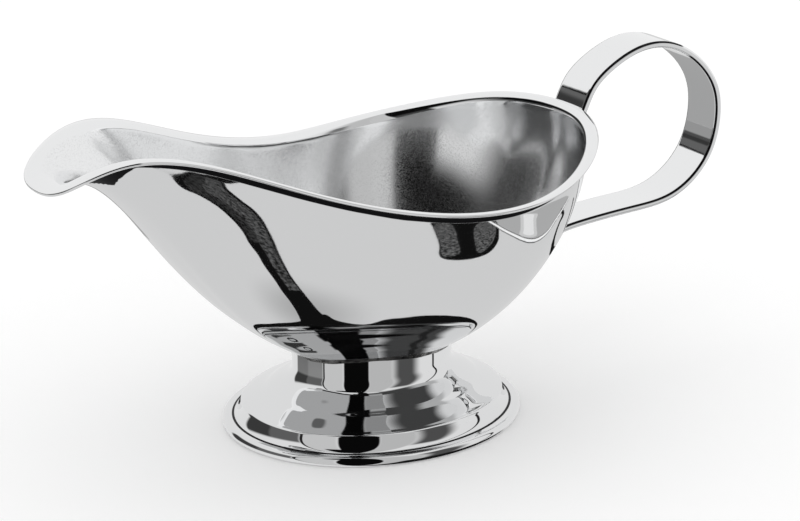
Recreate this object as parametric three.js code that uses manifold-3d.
import * as THREE from 'three';
import { mergeVertices } from 'three/addons/utils/BufferGeometryUtils.js';
import Module from 'manifold-3d';

// Pressed-steel sauce boat: a bowl with a drawn spout, an oval pedestal foot and a strap handle.
// Millimetres, +Z up. While it is built, the foot's axis is the Z axis, the spout points to -X
// and the handle to +X. At the end the group moves so that its origin is under its middle.

const { clamp, degToRad, lerp } = THREE.MathUtils;

// Joints
const jointGap = 0.3; // clearance between neighbouring pieces
const seamWidth = 2.2; // leg of a brazed seam

// Bowl
const bowlLength = 172.5; // over the rim
const bowlWidth = 96.2;
const spoutHeight = 95.2; // highest point of the rim
const bowlSheet = 1.0;
const bowlFloorHeight = 17.3; // outside of the lowest point, above the table
const bowlFloorAlong = 2.7; // lowest point, measured from the foot's axis
const floorRadiusAlong = 68; // radii of curvature at the lowest point
const floorRadiusAcross = 34;
const rimWidth = 3.0; // turned-out edge
const rimBend = 1.8; // distance from the corner at which the bend starts and ends

// Control polygon of the rim's edge, one side, from the spout tip to the back, as shares of the
// bowl's length, its half width and the spout's height. The edge droops by an angle in degrees.
// The wall below bellies out to a second polygon, whose points lie at a share of the way out to
// the rim's (belly) and at a share of the way up to it (lift).
const rimPolygon = [
  { along: -0.605, half: 0, height: 0.888, droop: 37, belly: 0.71, lift: 1.12 },
  { along: -0.600, half: 0.264, height: 0.907, droop: 37, belly: 0.71, lift: 1.12 },
  { along: -0.507, half: 0.391, height: 1.009, droop: 20, belly: 0.92, lift: 0.945 },
  { along: -0.384, half: 0.578, height: 0.975, droop: 0, belly: 0.94, lift: 0.79 },
  { along: -0.213, half: 0.715, height: 0.834, droop: 0, belly: 0.92, lift: 0.68 },
  { along: -0.031, half: 0.927, height: 0.744, droop: 0, belly: 0.93, lift: 0.61 },
  { along: 0.133, half: 1.058, height: 0.743, droop: 0, belly: 0.93, lift: 0.61 },
  { along: 0.282, half: 0.825, height: 0.797, droop: 0, belly: 0.93, lift: 0.61 },
  { along: 0.368, half: 0.459, height: 0.848, droop: 0, belly: 0.98, lift: 0.63 },
  { along: 0.410, half: 0, height: 0.847, droop: 0, belly: 0.98, lift: 0.63 },
];

// Foot: an oval whose profile is given as inset from the outer edge, and height
const footLength = 88;
const footWidth = 76.7;
const footSheet = 1.0;
const beadRadius = 1.5; // rolled lower edge
const restFlatWidth = 2.0; // flat under the rolled edge
const ledgeInset = 2.9;
const ledgeHeight = 2.8;
const shoulderInset = 5.1;
const shoulderHeight = 7.3;
const shoulderRadius = 0.8;
const flareInset = 12; // where the dome turns into the hollow flare
const flareHeight = 10.4;
const neckInset = 19.8;
const neckHeight = 17.6;

// Handle: flat strap
const strapWidth = 13.8;
const strapThickness = 2.0;
const strapEdge = 0.5; // rounding of the strap's edges
const loopReach = 52; // how far the loop stands out behind the rim
const loopHeight = 50;
// Its ends lie on the back of the bowl, at these shares of the way up the wall's curve
const upperPad = [0.77, 0.82, 0.87, 0.925];
const lowerPad = [0.475, 0.425, 0.378];
// Control polygon of the loop between them, from the rim's back edge, as shares of the loop's
// reach and height
const loopPolygon = [
  [0.024, -0.017], [0.079, 0.125], [0.214, 0.221], [0.402, 0.305], [0.612, 0.301],
  [0.818, 0.185], [0.974, -0.005], [1.001, -0.205], [0.954, -0.427], [0.814, -0.587],
  [0.626, -0.675], [0.391, -0.679], [0.187, -0.685], [-0.017, -0.697], [-0.161, -0.715],
  [-0.273, -0.779],
];

// Fineness of the meshes
const rimStepsPerSpan = 6;
const wallSteps = 16;
const bendSteps = 4;
const footColumns = 64;
const profileSteps = 4;
const strapStepsPerSpan = 4;

const steel = { color: 0xd9dbdd, metalness: 1, roughness: 0.08 };
const braze = { color: 0xb9bbbd, metalness: 1, roughness: 0.35 };

// Curves

function bezier(t, a, b, c, d) {
  const s = 1 - t;
  return s ** 3 * a + 3 * s * s * t * b + 3 * s * t * t * c + t ** 3 * d;
}

// Uniform cubic B-spline of numbers or points; the list wraps round, so a closed one needs no
// repeated entries
function splineWeights(s) {
  const f = s - Math.floor(s);
  return [
    (1 - f) ** 3,
    3 * f ** 3 - 6 * f ** 2 + 4,
    -3 * f ** 3 + 3 * f ** 2 + 3 * f + 1,
    f ** 3,
  ].map((weight) => weight / 6);
}

function splineNumber(values, s) {
  const span = Math.floor(s);
  return splineWeights(s).reduce(
    (sum, weight, k) => sum + weight * values[(span + k) % values.length], 0,
  );
}

function splinePoint(controls, s) {
  const span = Math.floor(s);
  const point = new THREE.Vector3();
  splineWeights(s).forEach((weight, k) => {
    point.addScaledVector(controls[(span + k) % controls.length], weight);
  });
  return point;
}

function bisect(low, high, isBelow) {
  for (let i = 0; i < 30; i += 1) {
    const middle = (low + high) / 2;
    if (isBelow(middle)) low = middle;
    else high = middle;
  }
  return (low + high) / 2;
}

// Grids of points to closed meshes

// Rows of points run round the piece. With poles the first and last rows close on them, and
// without poles the last row joins the first.
function gridGeometry(rows, poles) {
  const columns = rows[0].length;
  const points = rows.flat();
  const index = [];
  const at = (row, column) => (row % rows.length) * columns + (column % columns);
  const bands = poles ? rows.length - 1 : rows.length;
  for (let row = 0; row < bands; row += 1) {
    for (let column = 0; column < columns; column += 1) {
      const a = at(row, column);
      const b = at(row, column + 1);
      const c = at(row + 1, column + 1);
      const d = at(row + 1, column);
      index.push(a, b, c, a, c, d);
    }
  }
  if (poles) {
    const [first, last] = [points.length, points.length + 1];
    points.push(poles[0], poles[1]);
    for (let column = 0; column < columns; column += 1) {
      index.push(first, at(0, column + 1), at(0, column));
      index.push(last, at(rows.length - 1, column), at(rows.length - 1, column + 1));
    }
  }
  const geometry = new THREE.BufferGeometry().setFromPoints(points);
  geometry.setIndex(index);
  geometry.computeVertexNormals();
  return geometry;
}

// Normals of a grid, pointing to the outside of the piece
function gridNormals(rows, firstPole) {
  return rows.map((row, i) => row.map((point, j) => {
    const before = i > 0 ? rows[i - 1][j] : firstPole;
    const after = i + 1 < rows.length ? rows[i + 1][j] : point;
    const left = row[(j + row.length - 1) % row.length];
    const right = row[(j + 1) % row.length];
    const upward = after.clone().sub(before);
    const around = right.clone().sub(left);
    return around.cross(upward).normalize();
  }));
}

// Solids that are cut

const manifold = await Module();
manifold.setup();

function solidOf(geometry) {
  const bare = geometry.clone();
  bare.deleteAttribute('normal');
  bare.deleteAttribute('uv');
  const merged = mergeVertices(bare, 1e-4);
  return new manifold.Manifold(new manifold.Mesh({
    numProp: 3,
    vertProperties: new Float32Array(merged.attributes.position.array),
    triVerts: new Uint32Array(merged.index.array),
  }));
}

function geometryOf(solid) {
  const mesh = solid.getMesh();
  const geometry = new THREE.BufferGeometry();
  geometry.setAttribute('position', new THREE.BufferAttribute(mesh.vertProperties, 3));
  geometry.setIndex(new THREE.BufferAttribute(mesh.triVerts, 1));
  geometry.computeVertexNormals();
  return geometry;
}

// Bowl

const bowlFloor = new THREE.Vector3(bowlFloorAlong, 0, bowlFloorHeight);

// Values of one side's stations, carried on round the other side
const roundRim = (left, right) => [
  ...rimPolygon.map(left), ...rimPolygon.slice(1, -1).reverse().map(right),
];
const edgeOf = (side) => ({ along, half, height }) => new THREE.Vector3(
  along * bowlLength, (side * half * bowlWidth) / 2, height * spoutHeight,
);
const bellyOf = (side) => (station) => {
  const edge = edgeOf(side)(station);
  const { belly, lift } = station;
  return new THREE.Vector3(
    lerp(bowlFloor.x, edge.x, belly), edge.y * belly, lerp(bowlFloor.z, edge.z, lift),
  );
};
const rimControls = roundRim(edgeOf(-1), edgeOf(1));
const bellyControls = roundRim(bellyOf(-1), bellyOf(1));
const droops = roundRim(({ droop }) => degToRad(droop), ({ droop }) => degToRad(droop));

// Control points of one upright section of the bowl: the corner under the turned-out edge, the
// belly, and a handle level with the floor that gives the floor its radii. The turn runs from 0
// at the spout tip once round the rim.
function bowlSection(turn) {
  const spans = rimControls.length;
  const s = turn * spans + spans - 1;
  const edge = splinePoint(rimControls, s);
  const ahead = splinePoint(rimControls, s + 0.01);
  const outward = new THREE.Vector3(ahead.y - edge.y, edge.x - ahead.x, 0).normalize();
  const droop = splineNumber(droops, s);
  const lip = outward.clone().multiplyScalar(Math.cos(droop)).setZ(-Math.sin(droop));
  const lipNormal = outward.clone().multiplyScalar(Math.sin(droop)).setZ(Math.cos(droop));
  const corner = edge.clone()
    .addScaledVector(lip, -rimWidth)
    .addScaledVector(lipNormal, -bowlSheet / 2);
  const belly = splinePoint(bellyControls, s);
  const away = belly.clone().sub(bowlFloor);
  const rise = away.z;
  away.setZ(0).normalize();
  const bend = away.x ** 2 / floorRadiusAlong + away.y ** 2 / floorRadiusAcross;
  const level = bowlFloor.clone().addScaledVector(away, Math.sqrt((2 * rise) / (3 * bend)));
  return { edge, corner, lip, belly, level };
}

function wallPoint({ level, belly, corner }, t) {
  const at = (axis) => bezier(t, bowlFloor[axis], level[axis], belly[axis], corner[axis]);
  return new THREE.Vector3(at('x'), at('y'), at('z'));
}

// Outer skin of the bowl, from next to the floor point out to the end of the turned-out edge
function outerSkin() {
  const columns = rimControls.length * rimStepsPerSpan;
  const sections = Array.from({ length: columns }, (_, k) => bowlSection(k / columns));
  const wallEnd = (section) => {
    const steepness = wallPoint(section, 1).sub(wallPoint(section, 0.99)).length() / 0.01;
    return 1 - rimBend / steepness;
  };
  const rows = [];
  for (let step = 1; step <= wallSteps; step += 1) {
    rows.push(sections.map((section) => wallPoint(section, (wallEnd(section) * step) / wallSteps)));
  }
  for (let step = 1; step <= bendSteps; step += 1) {
    const t = step / bendSteps;
    rows.push(sections.map((section) => {
      const start = wallPoint(section, wallEnd(section));
      const end = section.corner.clone().addScaledVector(section.lip, rimBend);
      return start.multiplyScalar((1 - t) ** 2)
        .addScaledVector(section.corner, 2 * t * (1 - t))
        .addScaledVector(end, t * t);
    }));
  }
  rows.push(sections.map(({ corner, lip }) => (
    corner.clone().addScaledVector(lip, rimWidth - bowlSheet / 2)
  )));
  return { rows, lips: sections.map(({ lip }) => lip) };
}

// Skin moved along its normals by a distance, outwards when positive
function movedSkin(rows, distance) {
  const normals = gridNormals(rows, bowlFloor);
  return rows.map((row, i) => row.map(
    (point, j) => point.clone().addScaledVector(normals[i][j], distance),
  ));
}

function bowlGeometry() {
  const { rows, lips } = outerSkin();
  const inner = movedSkin(rows, -bowlSheet);
  const rounding = lips.map((lip, j) => (
    rows.at(-1)[j].clone().lerp(inner.at(-1)[j], 0.5).addScaledVector(lip, bowlSheet / 2)
  ));
  const innerFloor = bowlFloor.clone().setZ(bowlFloor.z + bowlSheet);
  return gridGeometry([...rows, rounding, ...inner.reverse()], [bowlFloor, innerFloor]);
}

// Solid that fills the bowl and reaches one clearance past its outer skin, used to trim the
// pieces that are joined to it
function bowlEnvelope() {
  const rows = movedSkin(outerSkin().rows, jointGap);
  const lid = new THREE.Vector3(bowlFloor.x, 0, Math.max(...rows.at(-1).map(({ z }) => z)));
  const floor = bowlFloor.clone().setZ(bowlFloor.z - jointGap);
  return solidOf(gridGeometry(rows, [floor, lid]));
}

// Height of the bowl's outer skin above a point of the plan
function undersideHeight(x, y) {
  const planOf = (point) => new THREE.Vector2(point.x - bowlFloor.x, Math.abs(point.y));
  const target = planOf({ x, y });
  let t = 0.3;
  let section;
  for (let pass = 0; pass < 6; pass += 1) {
    const level = t;
    const turn = bisect(0, 0.5, (middle) => (
      planOf(wallPoint(bowlSection(middle), level)).angle() > target.angle()
    ));
    section = bowlSection(turn);
    t = bisect(0, 1, (middle) => planOf(wallPoint(section, middle)).length() < target.length());
  }
  return wallPoint(section, t).z;
}

// Foot

// Point of the foot's oval, inset from its outer edge
function footPoint(column, inset, height) {
  const angle = (2 * Math.PI * column) / footColumns;
  return new THREE.Vector3(
    (footLength / 2 - inset) * Math.cos(angle),
    (footWidth / 2 - inset) * Math.sin(angle),
    height,
  );
}

function footRow(inset, height) {
  return Array.from({ length: footColumns }, (_, column) => footPoint(column, inset, height));
}

// Row of points that ends one clearance under the bowl
function footTopRow(inset, drop = 0) {
  return footRow(inset, 0).map((point) => (
    point.setZ(undersideHeight(point.x, point.y) - jointGap - drop)
  ));
}

// Outer profile above the rolled edge, as points of inset and height
function footProfile() {
  const path = new THREE.Path();
  path.moveTo(ledgeInset, ledgeHeight);
  path.quadraticCurveTo(
    lerp(ledgeInset, shoulderInset, 0.8), lerp(ledgeHeight, shoulderHeight, 0.2),
    shoulderInset, shoulderHeight - shoulderRadius,
  );
  path.quadraticCurveTo(
    shoulderInset, shoulderHeight,
    shoulderInset + shoulderRadius, shoulderHeight + 0.3 * shoulderRadius,
  );
  path.bezierCurveTo(
    lerp(shoulderInset, flareInset, 0.35), lerp(shoulderHeight, flareHeight, 0.4),
    lerp(shoulderInset, flareInset, 0.75), lerp(shoulderHeight, flareHeight, 0.65),
    flareInset, flareHeight,
  );
  path.bezierCurveTo(
    lerp(flareInset, neckInset, 0.45), lerp(flareHeight, neckHeight, 0.4),
    neckInset, lerp(flareHeight, neckHeight, 0.45),
    neckInset, neckHeight,
  );
  return path.getPoints(profileSteps);
}

function footGeometry() {
  const outer = footProfile();
  const inner = outer.map((point, i) => {
    const along = outer[Math.min(i + 1, outer.length - 1)].clone().sub(outer[Math.max(i - 1, 0)]);
    const across = new THREE.Vector2(along.y, -along.x).normalize();
    return point.clone().addScaledVector(across, footSheet);
  });
  const bead = [-90, -60, -30, 0, 30, 60, 80].map((degrees) => new THREE.Vector2(
    beadRadius * (1 - Math.cos(degToRad(degrees))),
    beadRadius * (1 + Math.sin(degToRad(degrees))),
  ));
  const flat = new THREE.Vector2(beadRadius + restFlatWidth, 0);
  const rows = [
    ...[flat, ...bead, ...outer].map(({ x, y }) => footRow(x, y)),
    footTopRow(neckInset),
    footTopRow(neckInset + footSheet),
    ...inner.reverse().map(({ x, y }) => footRow(x, y)),
  ];
  return gridGeometry(rows);
}

// Brazed seam in the corner between the neck of the foot and the bowl
function brazeRingGeometry() {
  const wall = neckInset - jointGap;
  const hollow = 0.35 * seamWidth;
  const rows = [
    footTopRow(wall),
    footTopRow(wall, seamWidth),
    footTopRow(wall - hollow, hollow),
    footTopRow(wall - seamWidth),
  ];
  return gridGeometry(rows);
}

// Handle

// Point of the strap's centre line where it lies on the bowl, in its side view
function padPoint(t) {
  const back = bowlSection(0.5);
  const point = wallPoint(back, t);
  const along = wallPoint(back, t + 0.01).sub(point).normalize();
  const distance = strapThickness / 2 + jointGap;
  return new THREE.Vector3(point.x + distance * along.z, point.z - distance * along.x, 0);
}

function loopPoint([out, up]) {
  const { edge } = bowlSection(0.5);
  return new THREE.Vector3(edge.x + out * loopReach, edge.z + up * loopHeight, 0);
}

const strapControls = [
  ...upperPad.map(padPoint), ...loopPolygon.map(loopPoint), ...lowerPad.map(padPoint),
];
const strapSpans = strapControls.length - 3;

// Centre line of the strap, with the direction along it and the direction to its outer face
function strapFrame(s) {
  const start = clamp(s, 0, strapSpans - 0.02);
  const point = splinePoint(strapControls, Math.min(s, strapSpans - 1e-6));
  const along = splinePoint(strapControls, start + 0.01)
    .sub(splinePoint(strapControls, start)).normalize();
  return { point, along, across: new THREE.Vector3(-along.y, along.x, 0) };
}

// Turns a side outline into a solid of the strap's width, centred on the middle plane
function strapWide(outline, edge) {
  const shape = new THREE.Shape(outline.map(({ x, y }) => new THREE.Vector2(x, y)));
  const geometry = new THREE.ExtrudeGeometry(shape, {
    depth: strapWidth - 2 * edge,
    bevelEnabled: edge > 0,
    bevelThickness: edge,
    bevelSize: edge,
    bevelOffset: -edge,
    bevelSegments: 1,
    steps: 1,
  });
  geometry.rotateX(Math.PI / 2);
  geometry.translate(0, strapWidth / 2 - edge, 0);
  return geometry;
}

function strapGeometry(envelope) {
  const steps = strapSpans * strapStepsPerSpan;
  const frames = Array.from({ length: steps + 1 }, (_, k) => strapFrame(k / strapStepsPerSpan));
  const side = (distance) => frames.map(({ point, across }) => (
    point.clone().addScaledVector(across, distance)
  ));
  const outline = [...side(strapThickness / 2), ...side(-strapThickness / 2).reverse()];
  return geometryOf(solidOf(strapWide(outline, strapEdge)).subtract(envelope));
}

// Brazed seam across the end of the strap, in the corner between its end and the bowl.
// towardsBowl is 1 where the bowl lies on the outer face's side of the strap, and -1 otherwise.
function seamGeometry(s, endSign, towardsBowl, envelope) {
  const { point, along, across } = strapFrame(s);
  const place = (beyond, toBowl) => point.clone()
    .addScaledVector(along, endSign * beyond)
    .addScaledVector(across, towardsBowl * toBowl);
  const buried = strapThickness / 2 + seamWidth;
  const hollow = 0.35 * seamWidth;
  const outline = [
    place(jointGap, buried),
    place(jointGap, strapThickness / 2 - seamWidth * 0.7),
    place(jointGap + hollow, strapThickness / 2 - hollow),
    place(jointGap + seamWidth, strapThickness / 2),
    place(jointGap + seamWidth, buried),
  ];
  return geometryOf(solidOf(strapWide(outline, 0)).subtract(envelope));
}

// Assembly

function piece(name, geometry, finish) {
  const mesh = new THREE.Mesh(geometry, new THREE.MeshStandardMaterial(finish));
  mesh.name = name;
  return mesh;
}

const envelope = bowlEnvelope();
const sauceBoat = new THREE.Group();
sauceBoat.add(
  piece('bowl', bowlGeometry(), steel),
  piece('foot', footGeometry(), steel),
  piece('foot_braze_ring', brazeRingGeometry(), braze),
  piece('handle', strapGeometry(envelope), steel),
  piece('upper_handle_weld', seamGeometry(0, -1, 1, envelope), braze),
  piece('lower_handle_weld', seamGeometry(strapSpans, 1, -1, envelope), braze),
);

// The origin is under the middle of the boat, on the table
const extent = new THREE.Box3().setFromObject(sauceBoat);
sauceBoat.position.x = -(extent.min.x + extent.max.x) / 2;

export default sauceBoat;
